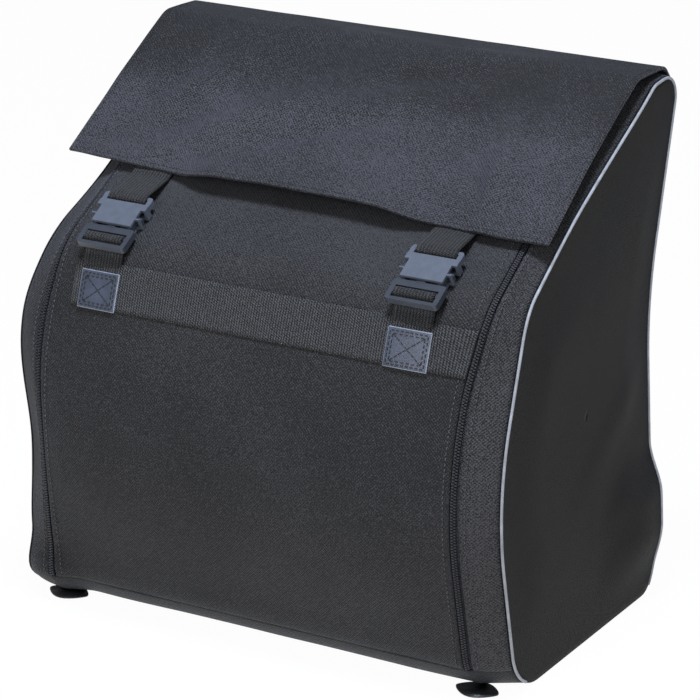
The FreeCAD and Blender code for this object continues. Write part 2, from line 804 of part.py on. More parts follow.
def shoulder_straps():
    back = box(WIDE, BEHIND_SPLIT, ("yoke_low", "yoke_high"))
    keep(common(layer(YOKE, "-yoke_width / 2", "yoke_width / 2"), back), "strap_yoke")
    rise = "(yoke_thick + (shoulder_length - shoulder_flat) * tan(shoulder_lean))"
    thick = "shoulder_thick"
    for name, side in SIDES:
        across = span(side, "shoulder_out", "shoulder_out")[0]
        slant = f"{side} * shoulder_slant"
        strap = new_body(name + "_shoulder_strap")
        slanted_pad(strap, [
            ("shoulder_tail", "-yoke_thick", None),
            ("shoulder_tail", f"-(yoke_thick + {thick})", "shoulder_thick / 3"),
            ("-shoulder_flat", f"-(yoke_thick + {thick})", "shoulder_bend + shoulder_thick"),
            ("-shoulder_length", f"-({rise} + {thick})", "shoulder_thick / 3"),
            ("-shoulder_length", f"-{rise}", "shoulder_thick / 3"),
            ("-shoulder_flat", "-yoke_thick", "shoulder_bend"),
        ], "shoulder_width", slant)
        on_back(strap, across, "shoulder_top")
        lock = new_body(name + "_ladder_lock")
        start, end = "-shoulder_length", "-(shoulder_length + lock_length)"
        near = f"-({rise} + shoulder_thick / 2 - lock_thick / 2)"
        far = f"-({rise} + shoulder_thick / 2 + lock_thick / 2)"
        slanted_pad(lock, [(start, near, None), (start, far, None), (end, far, "lock_radius"),
                           (end, near, "lock_radius")], "lock_width", slant)
        first = "-(shoulder_length + lock_bar)"
        second = "-(shoulder_length + lock_length / 2 - lock_bar / 2)"
        third = "-(shoulder_length + lock_length / 2 + lock_bar / 2)"
        last = "-(shoulder_length + lock_length - lock_bar)"
        for high, low in ((first, second), (third, last)):
            slanted_pocket(lock, [(high, "0", None), (low, "0", None), (low, "-far", None),
                                  (high, "-far", None)], "adjuster_width + lock_slot_clear",
                           slant)
        on_back(lock, across, "shoulder_top")
        webbing = new_body(name + "_adjuster_blank")
        level = f"-({rise} + shoulder_thick / 2 - lock_thick / 2)"
        slanted_pad(webbing, [
            (first, level, None),
            (end, level, "adjuster_turn_outer"),
            (f"{end} - adjuster_fall", f"{level} + adjuster_dive", None),
            (f"{end} - adjuster_fall + adjuster_thick", f"{level} + adjuster_dive", None),
            (f"{end} + adjuster_thick / 2", f"{level} + adjuster_thick", "adjuster_turn_inner"),
            (first, f"{level} + adjuster_thick", None),
        ], "adjuster_width", slant)
        on_back(webbing, across, "shoulder_top")
        pieces.remove(webbing)
        solid = stretch(offset(profile, "yoke_thick"), *WIDE)
        keep(cut(webbing, solid), name + "_adjuster_webbing")
        reach = span(side, "anchor_out - anchor_width / 2", "anchor_out + anchor_width / 2")
        low = box(WIDE, BEHIND_SPLIT, ("anchor_low", "anchor_high"))
        keep(common(layer(YOKE, *reach), low), name + "_strap_anchor")


def slanted_pocket(body, corners, width, slant):
    before = body.Shape.Volume
    sketch = body_sketch(body, "YZ_Plane")
    sketch.AttachmentOffset = Placement(Vector(0, 0, 0), Rotation(Vector(0, 1, 0), worth(slant)))
    bind(sketch, AttachmentOffset__Rotation__Angle=slant)
    rounded_line("", corners, closed=True, sketch=sketch)
    feature = body.newObject("PartDesign::Pocket", "Pocket")
    feature.Profile = sketch
    feature.Midplane = True
    bind(feature, Length=width)
    doc.recompute()
    if body.Shape.Volume > before - 1e-6:
        raise RuntimeError(f"{body.Label}: a pocket cuts nothing")


def grab_loop():
    loop = new_body("grab_loop")
    sketch = body_sketch(loop, "XZ_Plane")
    near = "-yoke_thick"
    half = "loop_span / 2"
    rounded_line("", [
        (f"-{half} - loop_tab", near, None),
        (f"-{half}", near, "loop_foot_inner"),
        (f"-{half} + loop_bow", f"{near} - loop_bow", "loop_radius"),
        (f"{half} - loop_bow", f"{near} - loop_bow", "loop_radius"),
        (half, near, "loop_foot_inner"),
        (f"{half} + loop_tab", near, None),
        (f"{half} + loop_tab", f"{near} - loop_thick", None),
        (f"{half} + loop_thick / 2", f"{near} - loop_thick", "loop_foot_outer"),
        (f"{half} - loop_bow + loop_thick / 2", f"{near} - loop_bow - loop_thick",
         "loop_radius + loop_thick"),
        (f"-{half} + loop_bow - loop_thick / 2", f"{near} - loop_bow - loop_thick",
         "loop_radius + loop_thick"),
        (f"-{half} - loop_thick / 2", f"{near} - loop_thick", "loop_foot_outer"),
        (f"-{half} - loop_tab", f"{near} - loop_thick", None),
    ], closed=True, sketch=sketch)
    feature = loop.newObject("PartDesign::Pad", "Pad")
    feature.Profile = sketch
    feature.Midplane = True
    bind(feature, Length="loop_width")
    doc.recompute()
    on_back(loop, "0", "loop_height")


def finish():
    doc.recompute()
    for thing in doc.Objects:
        if "Invalid" in thing.State or "Error" in thing.State:
            raise RuntimeError(f"{thing.Name} ({thing.Label}): {thing.State}")
    os.makedirs("parts", exist_ok=True)
    for piece in pieces:
        shape = piece.Shape
        if shape.isNull() or not shape.isValid() or not shape.Solids:
            raise RuntimeError(f"{piece.Label}: no valid solid")
        shape.exportStep(f"parts/{piece.Label}.step")
        limits = shape.BoundBox
        print(f"{piece.Label:28s} solids {len(shape.Solids)} volume {shape.Volume:11.1f}"
              f"  x {limits.XMin:7.1f} {limits.XMax:7.1f}  y {limits.YMin:7.1f} {limits.YMax:7.1f}"
              f"  z {limits.ZMin:7.1f} {limits.ZMax:7.1f}")
    axis = "hinge_reach + flap / 2"
    print("flap hinge axis: y", worth(f"crown_y + ({axis}) * cos(crown_aim)"),
          "z", worth(f"crown_z + ({axis}) * sin(crown_aim)"))
    for name in ("slope", "back_slope", "front_slope"):
        print(name, worth(name))
    print(len(pieces), "pieces")


shell()
zips()
door()
flap()
for label, hand in SIDES:
    buckle_female(label, hand)
    buckle_male(label, hand)
sliders()
shoulder_straps()
grab_loop()
finish()
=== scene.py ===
import math

import bmesh
import bpy
import numpy as np
from mathutils import Matrix, Vector, noise


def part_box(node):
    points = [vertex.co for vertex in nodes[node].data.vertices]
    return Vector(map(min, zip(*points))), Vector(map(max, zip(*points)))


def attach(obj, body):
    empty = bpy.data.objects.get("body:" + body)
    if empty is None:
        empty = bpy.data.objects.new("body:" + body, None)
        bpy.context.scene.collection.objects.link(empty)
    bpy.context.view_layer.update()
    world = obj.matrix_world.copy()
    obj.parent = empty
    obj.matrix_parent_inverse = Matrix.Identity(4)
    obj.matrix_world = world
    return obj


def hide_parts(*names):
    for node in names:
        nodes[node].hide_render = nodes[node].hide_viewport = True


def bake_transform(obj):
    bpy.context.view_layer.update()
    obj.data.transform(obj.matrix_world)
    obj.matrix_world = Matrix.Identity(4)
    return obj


# Soft accordion case, in metres. The front faces -Y, +Z is up and +X is right seen from the front.

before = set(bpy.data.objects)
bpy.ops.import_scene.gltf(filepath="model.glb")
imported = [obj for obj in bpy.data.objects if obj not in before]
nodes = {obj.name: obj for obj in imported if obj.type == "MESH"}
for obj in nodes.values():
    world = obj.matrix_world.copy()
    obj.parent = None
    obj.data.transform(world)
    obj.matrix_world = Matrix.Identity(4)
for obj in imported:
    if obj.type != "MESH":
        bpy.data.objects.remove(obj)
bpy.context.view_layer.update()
sides = {"left": -1, "right": 1}
print("frame loaded:", len(nodes), "nodes")

# the case seen from the side: corners as (y, z, radius), round the base, the front and the top
caseOutline = {
    "corners": [
        (0.0, 0.0, 0),
        (-0.150, 0.0, 0.050),
        (-0.192, 0.185, 0.250),
        (-0.143, 0.338, 0.060),
        (0.090, 0.476, 0.022),
        (0.160, 0.478, 0.022),
        (0.108, 0.280, 0.300),
        (0.136, 0.0, 0.020),
    ],
    "halfWidth": 0.242,
    "gussetEdge": 0.240,
    "zipOut": 0.208,
    "setback": 0.020,
    "footFade": 0.04,  # over these the recess beside the zips comes in and goes out
    "topFade": 0.038,
    "floorSeam": 0.024,
    "backSeam": 0.460,
    "gussetSeam": 0.220,  # up the slope from the bend, as doorTop is
    "doorTop": 0.200,
    "cloth": 0.002,
}
(bendY, bendZ, _), (ridgeY, ridgeZ, _) = caseOutline["corners"][3:5]
slopeAngle = math.atan2(ridgeZ - bendZ, ridgeY - bendY)
slopeLength = math.hypot(ridgeZ - bendZ, ridgeY - bendY)


def eased(t):
    t = min(max(t, 0.0), 1.0)
    return t * t * (3 - 2 * t)


def hump(t):
    # a smooth hill of height 1 at t = 0 that ends at t = -1 and 1
    return eased(1 - abs(t))


def within(value, low, rise, high, fall):
    # 1 well inside low and high: it eases in over `rise` and out over `fall`
    return eased((value - low) / rise) * eased((high - value) / fall)


def turned(vector, angle):
    return Vector((vector.x * math.cos(angle) - vector.y * math.sin(angle),
                   vector.x * math.sin(angle) + vector.y * math.cos(angle)))


def roundedRoute(corners, closed=False, step=0.002):
    spots = [Vector((y, z)) for y, z, _ in corners]
    count = len(spots)
    line = []
    for i, (_, _, radius) in enumerate(corners):
        here = spots[i]
        if not radius or (not closed and i in (0, count - 1)):
            line.append(here)
            continue
        into = (here - spots[i - 1]).normalized()
        out = (spots[(i + 1) % count] - here).normalized()
        turn = math.atan2(into.x * out.y - into.y * out.x, into.dot(out))
        start = here - into * radius * math.tan(abs(turn) / 2)
        centre = start + Vector((-into.y, into.x)) * math.copysign(radius, turn)
        parts = max(4, math.ceil(radius * abs(turn) / step))
        line += [centre + turned(start - centre, turn * k / parts) for k in range(parts + 1)]
    if closed:
        line.append(line[0])
    points = np.array([(p.x, p.y) for p in line])
    gaps = np.linalg.norm(np.diff(points, axis=0), axis=1)
    points = points[np.r_[True, gaps > 1e-7]]
    lengths = np.r_[0, np.cumsum(np.linalg.norm(np.diff(points, axis=0), axis=1))]
    along = np.linspace(0, lengths[-1], int(lengths[-1] / step) + 1)
    y = np.interp(along, lengths, points[:, 0])
    z = np.interp(along, lengths, points[:, 1])
    angle = np.unwrap(np.arctan2(np.gradient(z), np.gradient(y)))
    return {"along": along, "y": y, "z": z, "angle": angle, "length": float(lengths[-1])}


def spotOn(route, s, off=0.0):
    # the point at s along the route, moved out by off
    angle = np.interp(s, route["along"], route["angle"])
    y = np.interp(s, route["along"], route["y"]) - off * math.sin(angle)
    z = np.interp(s, route["along"], route["z"]) + off * math.cos(angle)
    return float(y), float(z)


outline = roundedRoute(caseOutline["corners"], closed=True)


def whereAt(test, first=0.0):
    # the first s along the outline, from `first` on, where the test on (y, z) holds
    for s, y, z in zip(outline["along"], outline["y"], outline["z"]):
        if s >= first and test(y, z):
            return float(s)
    raise ValueError("the outline never gets there")


def slopeSpot(along, off=0.0):
    # a point in the frame of the front slope, which starts at the bend
    return (bendY + along * math.cos(slopeAngle) - off * math.sin(slopeAngle),
            bendZ + along * math.sin(slopeAngle) + off * math.cos(slopeAngle))


floorFront = whereAt(lambda y, z: y < 0 and z >= caseOutline["floorSeam"])
bendAt = whereAt(lambda y, z: z >= bendZ, floorFront)
doorTopAt = whereAt(lambda y, z: z >= slopeSpot(caseOutline["doorTop"])[1], bendAt)
gussetSeamAt = whereAt(lambda y, z: z >= slopeSpot(caseOutline["gussetSeam"])[1], bendAt)
ridgeAt = whereAt(lambda y, z: y >= ridgeY, bendAt)
backTopAt = whereAt(lambda y, z: z <= caseOutline["backSeam"], ridgeAt)
floorBack = whereAt(lambda y, z: z <= caseOutline["floorSeam"], backTopAt)


def recess(x, s):
    # how far the front has moved back between the zips and the case's edges
    s = s % outline["length"]
    size = caseOutline
    out = max(0.0, abs(x) - size["zipOut"]) / (size["gussetEdge"] - size["zipOut"])
    low = eased((s - size["footFade"]) / size["footFade"])
    high = 1 - eased((s - ridgeAt) / size["topFade"])
    return size["setback"] * min(out, 1.0) * min(low, high)


# how the empty case has settled, in metres: how far each place has moved, and where it is;
# heights are (low, rise, high, fall)
settling = {
    "stripFrom": 0.178, "stripFade": 0.058,
    "wallIn": 0.009, "wallBack": 0.010, "wallAt": 0.155, "wallReach": 0.11,
    "shoulderIn": 0.030, "shoulderAt": 0.385, "shoulderReach": 0.120,
    "footOut": 0.017, "footTop": 0.062, "footFade": 0.045,
    "zipOut": 0.009, "zipReach": 0.030, "zipHeights": (0.26, 0.09, 0.46, 0.06),
    "rightForward": 0.013, "rightHeights": (0.32, 0.08, 0.475, 0.03),
    "rearOut": 0.011, "rearFrom": 0.228, "rearFade": 0.012, "rearHeights": (0.01, 0.06, 0.148, 0.05),
}


def settle(x, y, z):
    # the place of a point of the skin once the cloth has settled; hard pieces stay clear of it
    size = settling
    front = eased((0.11 - y) / 0.14)
    left = eased((-x - size["stripFrom"]) / size["stripFade"]) * front
    right = eased((x - size["stripFrom"]) / size["stripFade"]) * front
    rear = eased((x - size["rearFrom"]) / size["rearFade"]) * eased((y - 0.02) / 0.09)
    zipped = hump((x - caseOutline["zipOut"]) / size["zipReach"]) * front
    middle = hump((z - size["wallAt"]) / size["wallReach"])
    shoulder = hump((z - size["shoulderAt"]) / size["shoulderReach"])
    foot = eased((size["footTop"] - z) / size["footFade"]) * eased((-y - 0.02) / 0.08)
    dx = left * (size["wallIn"] * middle + size["shoulderIn"] * shoulder)
    dx += zipped * size["zipOut"] * within(z, *size["zipHeights"])
    dx += rear * size["rearOut"] * within(z, *size["rearHeights"])
    dy = left * (size["wallBack"] * middle - size["footOut"] * foot)
    dy -= right * size["rightForward"] * within(z, *size["rightHeights"])
    return Vector((x + dx, y + dy, z))


def shellSpot(x, s, off=0.0):
    # a point of the case's skin, moved out by off
    y, z = spotOn(outline, s % outline["length"], off)
    return settle(x, y + recess(x, s), z)


def heightAt(height):
    return whereAt(lambda y, z: y < 0 and z >= height, floorFront)


def backAt(height):
    return whereAt(lambda y, z: z <= height, backTopAt)


def placed(name, data):
    made = bpy.data.objects.new(name, data)
    bpy.context.collection.objects.link(made)
    return made


def finished(name, bm, material, body, smooth=True):
    mesh = bpy.data.meshes.new(name)
    bm.to_mesh(mesh)
    bm.free()
    for face in mesh.polygons:
        face.use_smooth = smooth
    piece = placed(name, mesh)
    piece.data.materials.append(material)
    if body:  # a strap held by two bodies has none here and is left unattached
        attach(piece, body)
    return piece


def rumple(x, s, size, seed, stretch=1.0):
    # a smooth wander between about -1 and 1, longer one way than the other
    return noise.noise(Vector((x / size, s / (size * stretch), seed)))


def clothGrid(route, across, along, cells, lift):
    # a grid laid on the route: u runs across the case, v along the route, lift(x, s) stands off
    bm = bmesh.new()
    bmesh.ops.create_grid(bm, x_segments=cells[0], y_segments=cells[1], size=0.5)
    cloth = bm.loops.layers.uv.new("cloth")
    flat = {}
    for vert in bm.verts:
        x = across[0] + (across[1] - across[0]) * (vert.co.x + 0.5)
        s = along[0] + (along[1] - along[0]) * (vert.co.y + 0.5)
        flat[vert] = (x, s)
    for face in bm.faces:
        for loop in face.loops:
            loop[cloth].uv = flat[loop.vert]
    for vert, (x, s) in flat.items():
        if route is outline:
            vert.co = shellSpot(x, s, lift(x, s))
        else:
            vert.co = Vector((x, *spotOn(route, s, lift(x, s))))
    return bm


def thicken(piece, depth=caseOutline["cloth"], offset=-1.0):
    # the cloth's thickness goes inwards, or to both sides with an offset of 0
    made = piece.modifiers.new("thickness", "SOLIDIFY")
    made.thickness = depth
    made.offset = offset
    made.use_even_offset = True


def clothPiece(name, node, body, material, across, along, cells, lift,
               depth=caseOutline["cloth"], route=outline):
    bm = clothGrid(route, across, along, cells, lift)
    piece = finished(name, bm, material, body)
    thicken(piece, depth)
    if node:
        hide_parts(node)
    return piece


def tubeAlong(name, points, radius, material, body):
    curve = bpy.data.curves.new(name, "CURVE")
    curve.dimensions = "3D"
    curve.bevel_depth = radius
    curve.bevel_resolution = 2
    curve.use_fill_caps = True
    spline = curve.splines.new("POLY")
    spline.points.add(len(points) - 1)
    for spot, point in zip(points, spline.points):
        point.co = (*spot, 1)
    holder = placed(name + "Line", curve)
    evaluated = holder.evaluated_get(bpy.context.evaluated_depsgraph_get())
    mesh = bpy.data.meshes.new_from_object(evaluated)
    bpy.data.objects.remove(holder)
    bm = bmesh.new()
    bm.from_mesh(mesh)
    return finished(name, bm, material, body)


def newMaterial(name, colour, roughness, **sockets):
    material = bpy.data.materials.new(name)
    material.use_nodes = True
    tree = material.node_tree
    shader = tree.nodes["Principled BSDF"]
    shader.inputs["Base Color"].default_value = (*colour, 1)
    shader.inputs["Roughness"].default_value = roughness
    for label, value in sockets.items():
        shader.inputs[label.replace("_", " ")].default_value = value
    return material, tree, shader


def add(tree, kind, **values):
    node = tree.nodes.new(kind)
    for label, value in values.items():
        if hasattr(node, label):
            setattr(node, label, value)
        else:
            node.inputs[label.replace("_", " ")].default_value = value
    return node


def speckle(tree, coords, scale, detail):
    made = add(tree, "ShaderNodeTexNoise", Scale=scale, Detail=detail, Roughness=0.6)
    tree.links.new(coords, made.inputs["Vector"])
    return made.outputs["Fac"]


def ramp(tree, factor, low, high, start=0.3, end=0.7):
    made = add(tree, "ShaderNodeValToRGB")
    made.color_ramp.elements[0].position = start
    made.color_ramp.elements[0].color = (*low, 1)
    made.color_ramp.elements[1].position = end
    made.color_ramp.elements[1].color = (*high, 1)
    tree.links.new(factor, made.inputs["Fac"])
    return made.outputs["Color"]


def calc(tree, operation, first, second=None):
    made = add(tree, "ShaderNodeMath", operation=operation)
    for socket, value in zip(made.inputs, (first, second)):
        if value is None:
            continue
        if isinstance(value, (int, float)):
            socket.default_value = value
        else:
            tree.links.new(value, socket)
    return made.outputs[0]


def plus(tree, first, second, share):
    # the first value and a share of the second
    return calc(tree, "ADD", first, calc(tree, "MULTIPLY", second, share))


def bump(tree, shader, height, distance):
    made = add(tree, "ShaderNodeBump", Strength=1.0, Distance=distance)
    tree.links.new(height, made.inputs["Height"])
    tree.links.new(made.outputs["Normal"], shader.inputs["Normal"])


def objectCoords(tree):
    return add(tree, "ShaderNodeTexCoord").outputs["Object"]


def clothMap(tree):
    # X and Y of the piece's own cloth map, in metres across and along it
    mapped = add(tree, "ShaderNodeUVMap", uv_map="cloth")
    split = add(tree, "ShaderNodeSeparateXYZ")
    tree.links.new(mapped.outputs["UV"], split.inputs["Vector"])
    return split.outputs["X"], split.outputs["Y"]


def wave(tree, value, pitch):
    return calc(tree, "SINE", calc(tree, "MULTIPLY", value, 2 * math.pi / pitch))


def threads(tree, pitch):
    # over and under threads of a plain weave
    across, along = clothMap(tree)
    return calc(tree, "MULTIPLY", wave(tree, across, pitch), wave(tree, along, pitch))


def wovenCloth(name, dark, light, pitch, roughness, depth, sheen=0.25, shine=0.35, wearAndPaintedSheen=0.6,
               heightToneAndPaintedLight=()):
    material, tree, shader = newMaterial(name, dark, roughness, Sheen_Weight=sheen,
                                         Sheen_Roughness=0.4, Specular_IOR_Level=shine)
    shader.inputs["Sheen Tint"].default_value = (0.62, 0.68, 0.85, 1)
    coords = objectCoords(tree)
    fine = speckle(tree, coords, 840, 2.0)
    broad = speckle(tree, coords, 7, 3.0)
    weave = threads(tree, pitch)
    # the tone of a spot: its fibres, the thread it lies on, and broad patches that stand for wear and for
    # painted sheen
    tone = calc(tree, "MULTIPLY", calc(tree, "ADD", fine, -0.5), 5.0)
    tone = plus(tree, tone, weave, 0.45)
    tone = plus(tree, tone, calc(tree, "ADD", broad, -0.5), wearAndPaintedSheen * 2)
    spot = add(tree, "ShaderNodeSeparateXYZ")
    tree.links.new(coords, spot.inputs["Vector"])
    for start, end, amount in heightToneAndPaintedLight:
        # the cloth is lighter or darker by `amount` from the height `end` up, and changes from `start`;
        # this carries plain tone and painted light and shade
        rise = calc(tree, "MULTIPLY", calc(tree, "ADD", spot.outputs["Z"], -start), 1 / (end - start))
        rise.node.use_clamp = True
        tone = plus(tree, tone, rise, amount)
    tree.links.new(ramp(tree, calc(tree, "ADD", tone, 0.5), dark, light, 0.2, 0.8),
                   shader.inputs["Base Color"])
    bump(tree, shader, plus(tree, weave, fine, 1.6), depth)
    return material


nylon = wovenCloth("canvasNylon", dark=(0.003, 0.003, 0.0034), light=(0.0265, 0.0265, 0.030),
                   pitch=0.0030, roughness=0.7, depth=0.00030, sheen=0.10)
# the front is darker all over, and painted lighter up the slope, which faces the top lamp: painted light
frontNylon = wovenCloth("frontNylon", dark=(0.0045, 0.0045, 0.005), light=(0.037, 0.0373, 0.043),
                        pitch=0.0030, roughness=0.68, depth=0.00030, sheen=0.10,
                        heightToneAndPaintedLight=((-0.10, 0.0, -0.34), (0.31, 0.37, 0.52)))
# the flap is painted darker from just below the ridge over its top, which turns away from the lamps:
# painted shade
flapNylon = wovenCloth("flapNylon", dark=(0.002, 0.0021, 0.0028), light=(0.051, 0.052, 0.064),
                       pitch=0.0030, roughness=0.6, depth=0.00034, sheen=0.14, wearAndPaintedSheen=0.7,
                       heightToneAndPaintedLight=((0.440, 0.472, -0.62),))
# a lighter copy of the nylon for the gussets: painted light
paintedLightGussetNylon = wovenCloth("paintedLightGussetNylon", dark=(0.004, 0.004, 0.0046), light=(0.050, 0.050, 0.056),
                         pitch=0.0030, roughness=0.66, depth=0.00030, sheen=0.12)
# a smoother cloth for the sides; its very dark colour is partly painted shade, for sides turned away from
# the lamps
paintedShadeSideNylon = wovenCloth("paintedShadeSideNylon", dark=(0.0016, 0.0016, 0.0016), light=(0.0062, 0.0062, 0.0065),
                       pitch=0.0021, roughness=0.7, depth=0.00012, sheen=0.03, shine=0.22)
lining = wovenCloth("liningCloth", dark=(0.020, 0.021, 0.023), light=(0.052, 0.054, 0.060),
                    pitch=0.0024, roughness=0.8, depth=0.0002)
edgeTape = wovenCloth("edgeTape", dark=(0.002, 0.0022, 0.0028), light=(0.040, 0.042, 0.048),
                      pitch=0.0018, roughness=0.6, depth=0.0003, sheen=0.1)


def webbingMaterial(name, dark, light, ribPitch, depth, lean=0.5):
    material, tree, shader = newMaterial(name, dark, 0.62, Sheen_Weight=0.08, Specular_IOR_Level=0.3)
    coords = objectCoords(tree)
    across, along = clothMap(tree)
    ribs = wave(tree, across, ribPitch)
    # the twill crosses the ribs at a slant
    twill = wave(tree, plus(tree, along, across, lean), 0.0021)
    speck = calc(tree, "ADD", speckle(tree, coords, 900, 2.0), -0.5)
    height = plus(tree, plus(tree, ribs, twill, 0.9), speck, 6)
    shade = calc(tree, "ADD", calc(tree, "MULTIPLY", height, 0.55), 0.40)
    tree.links.new(ramp(tree, shade, dark, light, 0.2, 0.9), shader.inputs["Base Color"])
    bump(tree, shader, height, depth)
    return material


webbing = webbingMaterial("ribbedWebbing", dark=(0.0006, 0.0006, 0.0008), light=(0.085, 0.089, 0.100),
                          ribPitch=0.0025, depth=0.0005)
strapWebbing = webbingMaterial("strapWebbing", dark=(0.0012, 0.0012, 0.0015),
                               light=(0.042, 0.045, 0.052), ribPitch=0.0030, depth=0.0004, lean=-0.8)


def plainMaterial(name, colour, roughness, grain, depth, vary=0.25, **sockets):
    material, tree, shader = newMaterial(name, colour, roughness, **sockets)
    coords = objectCoords(tree)
    low = tuple(c * (1 - vary) for c in colour)
    high = tuple(min(1.0, c * (1 + vary)) for c in colour)
    tree.links.new(ramp(tree, speckle(tree, coords, grain / 12, 4.0), low, high),
                   shader.inputs["Base Color"])
    bump(tree, shader, speckle(tree, coords, grain, 4.0), depth)
    return material


vinyl = plainMaterial("grainedVinyl", (0.046, 0.057, 0.086), 0.38, grain=900, depth=0.00025,
                      Coat_Weight=0.15, Coat_Roughness=0.3)
vinylEdge = plainMaterial("cutVinylEdge", (0.22, 0.25, 0.31), 0.5, grain=900, depth=0.0002)
# one acetal in two copies: the socket's is lighter, painted light, and the one for the plug, prongs and
# ladder locks is darker, painted shade
buckle = plainMaterial("acetalBuckle", (0.092, 0.106, 0.138), 0.24, grain=1500, depth=0.00003,
                       vary=0.1, Specular_IOR_Level=0.6)
paintedShadeBuckle = plainMaterial("paintedShadeAcetal", (0.038, 0.044, 0.058), 0.24, grain=1500, depth=0.00003,
                             vary=0.1, Specular_IOR_Level=0.7)
pipingCloth = plainMaterial("pipingCord", (0.30, 0.315, 0.35), 0.5, grain=1200, depth=0.0001)
thread = plainMaterial("blackThread", (0.006, 0.006, 0.007), 0.6, grain=2500, depth=0.00005)
greyThread = plainMaterial("greyThread", (0.055, 0.057, 0.066), 0.6, grain=2500, depth=0.00005)
coil = plainMaterial("nylonCoil", (0.026, 0.027, 0.033), 0.45, grain=2500, depth=0.00003,
                     Specular_IOR_Level=0.4)
zipMetal = plainMaterial("enamelledMetal", (0.030, 0.030, 0.034), 0.3, grain=1800, depth=0.00003,
                         Metallic=0.6)
board = plainMaterial("baseBoard", (0.030, 0.030, 0.032), 0.6, grain=500, depth=0.0001)
leafVinyl = plainMaterial("leafVinyl", (0.016, 0.017, 0.020), 0.34, grain=900, depth=0.0002,
                          Coat_Weight=0.2, Coat_Roughness=0.25)
print("materials made")

# how far the padded cloth stands out; on the front it is flat from frontHalf outwards
puff = {"front": 0.0055, "slope": 0.0012, "rumple": 0.0016, "side": 0.004, "frontHalf": 0.205}


def frontLift(x, s):
    # soft fullness over the belly, and a slight rumple that dies out at the seams
    inwards = eased((puff["frontHalf"] - abs(x)) / 0.07)
    low = eased((s - floorFront) / 0.09)
    onSlope = eased((s - bendAt + 0.06) / 0.10)
    top = eased((doorTopAt - s) / 0.05)
    full = puff["front"] * (1 - onSlope) + puff["slope"] * onSlope
    soft = rumple(x, s, 0.16, 3.7, 1.6) + 0.5 * rumple(x, s, 0.07, 9.1, 2.0)
    return inwards * low * top * full + inwards * low * soft * puff["rumple"] * (1 - 0.5 * onSlope)


gussetSizes = {"near": 0.2122, "middle": 0.227, "reach": 0.013, "full": 0.0012, "rumple": 0.0006,
               "topRise": 0.0008}


def gussetLift(x, s):
    across = 1 - min(abs(abs(x) - gussetSizes["middle"]) / gussetSizes["reach"], 1.0) ** 2
    return gussetSizes["full"] * across + gussetSizes["rumple"] * rumple(x, s, 0.05, 2.2)


def bodyShell():
    wide = caseOutline["halfWidth"] - caseOutline["cloth"]
    baseAlong = (-(outline["length"] - floorBack), floorFront)

    def baseLift(x, s):
        s = s % outline["length"]
        up = 0.0 if s < 0.3 and spotOn(outline, s)[1] < 0.003 else 1.0
        return up * 0.0006 * rumple(x, s, 0.06, 5.5)

    clothPiece("basePanel", "base_panel", "shell", nylon, (-wide, wide),
               baseAlong, (120, 110), baseLift)

    def backLift(x, s):
        ends = min(eased((s - backTopAt) / 0.04), eased((floorBack - s) / 0.04))
        inwards = eased((wide - abs(x)) / 0.06)
        return ends * inwards * 0.0006 * rumple(x, s, 0.09, 7.3)

    clothPiece("backPanel", "back_panel", "shell", nylon, (-wide, wide),
               (backTopAt, floorBack), (80, 90), backLift)
    for name, side in sides.items():
        near, far = sorted((side * gussetSizes["near"], side * caseOutline["gussetEdge"]))
        # the right front gusset has the lighter copy, painted light, and the left one the darker front
        # nylon, painted shade
        cloth = paintedLightGussetNylon if side > 0 else frontNylon
        clothPiece(name + "FrontGusset", name + "_front_gusset", "shell", cloth,
                   (near, far), (floorFront, gussetSeamAt), (10, 220), gussetLift)
        clothPiece(name + "TopGusset", name + "_top_gusset", "shell", paintedLightGussetNylon,
                   (near, far), (gussetSeamAt, backTopAt), (10, 90),
                   lambda x, s: gussetSizes["topRise"] + gussetLift(x, s))
    print("shell made")


# the first ring lies at this share of the way out, and the cloth is open inside it
sideSizes = {"middle": (-0.015, 0.215), "firstRing": 0.004}
sideFolds = [
    # height, width, reach, and where its middle is across and along the fall of the folds
    (0.0016, 0.030, 0.16, 0.0, 0.0),
    (0.0012, 0.026, 0.13, 0.07, -0.03),
]


def sideCloth(name, side, material, cells, at, inset, lift):
    # rings from the middle of the side out to its edge
    bm = bmesh.new()
    bmesh.ops.create_grid(bm, x_segments=cells[0], y_segments=cells[1], size=0.5)
    cloth = bm.loops.layers.uv.new("cloth")
    middle = Vector(sideSizes["middle"])
    first = sideSizes["firstRing"]
    for vert in bm.verts:
        s = (vert.co.x + 0.5) * outline["length"] % outline["length"]
        share = first + (1 - first) * (vert.co.y + 0.5)
        y, z = spotOn(outline, s, -inset)
        edge = Vector((y + recess(caseOutline["gussetEdge"], s), z))
        spot = middle + (edge - middle) * share
        vert.co = settle(side * (at + lift(spot, share, side)), spot.x, spot.y)
    bmesh.ops.remove_doubles(bm, verts=bm.verts, dist=0.00005)
    bmesh.ops.recalc_face_normals(bm, faces=bm.faces)
    if sum(f.normal.x * side for f in bm.faces) < 0:
        bmesh.ops.reverse_faces(bm, faces=bm.faces)
    for face in bm.faces:
        for loop in face.loops:
            loop[cloth].uv = (loop.vert.co.y, loop.vert.co.z)
    return finished(name, bm, material, "shell")


def sideLift(spot, share, side):
    inwards = eased((1 - share) / 0.45)
    soft = rumple(spot.x, spot.y, 0.17, 4.4 + side, 1.4) + 0.5 * rumple(spot.x, spot.y, 0.08, 1.9)
    # two long soft folds that fall from the crown towards the foot
    along = (spot.x - 0.06) * 0.80 + (spot.y - 0.20) * 0.60
    across = (spot.x - 0.06) * 0.60 - (spot.y - 0.20) * 0.80
    folds = sum(height * hump((across - acrossAt) / width) * hump((along - alongAt) / reach)
                for height, width, reach, acrossAt, alongAt in sideFolds)
    return inwards * (puff["side"] * (0.6 + 0.7 * soft) + folds)


